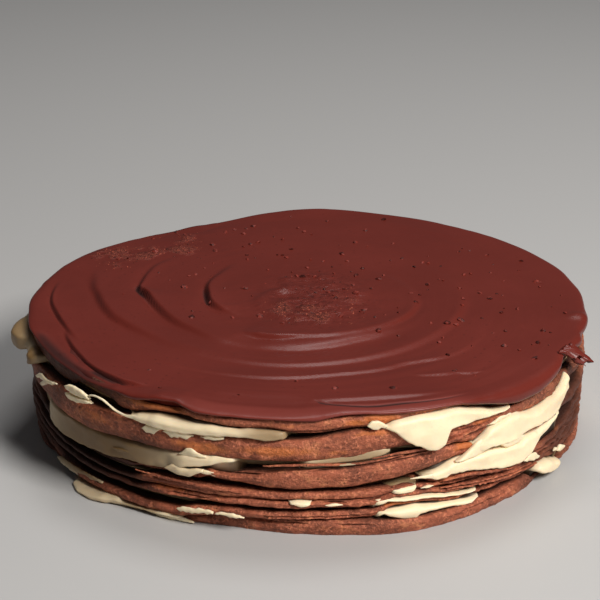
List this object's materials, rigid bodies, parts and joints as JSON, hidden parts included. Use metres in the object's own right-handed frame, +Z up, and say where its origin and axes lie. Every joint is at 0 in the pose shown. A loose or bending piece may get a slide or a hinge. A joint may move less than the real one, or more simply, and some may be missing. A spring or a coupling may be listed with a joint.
{
  "type": "crepe cake",
  "caption": "Round chocolate crepe cake: thin crepes stacked with cream between them, under a ganache top spread in a swirl.",
  "frame": {"origin": "centre of the cake's bounding box, on the plane it rests on", "axes": "+Z up through the layers; -Y towards the side shown in the reference; +X to the right of that view"},
  "size_m": [0.2088, 0.206, 0.0456],
  "materials": {
    "crepe": "matt, browned chocolate batter",
    "cream": "satin, whipped pastry cream",
    "ganache": "satin, spread chocolate ganache"
  },
  "bodies": {
    "root": {"crepe_1": "crepe", "crepe_2": "crepe", "crepe_3": "crepe", "crepe_4": "crepe", "crepe_5": "crepe", "crepe_6": "crepe", "crepe_7": "crepe", "crepe_8": "crepe", "cream_1": "cream", "cream_2": "cream", "cream_3": "cream", "cream_4": "cream", "cream_5": "cream", "cream_6": "cream", "cream_7": "cream", "ganache": "ganache"}
  },
  "joints": []
}
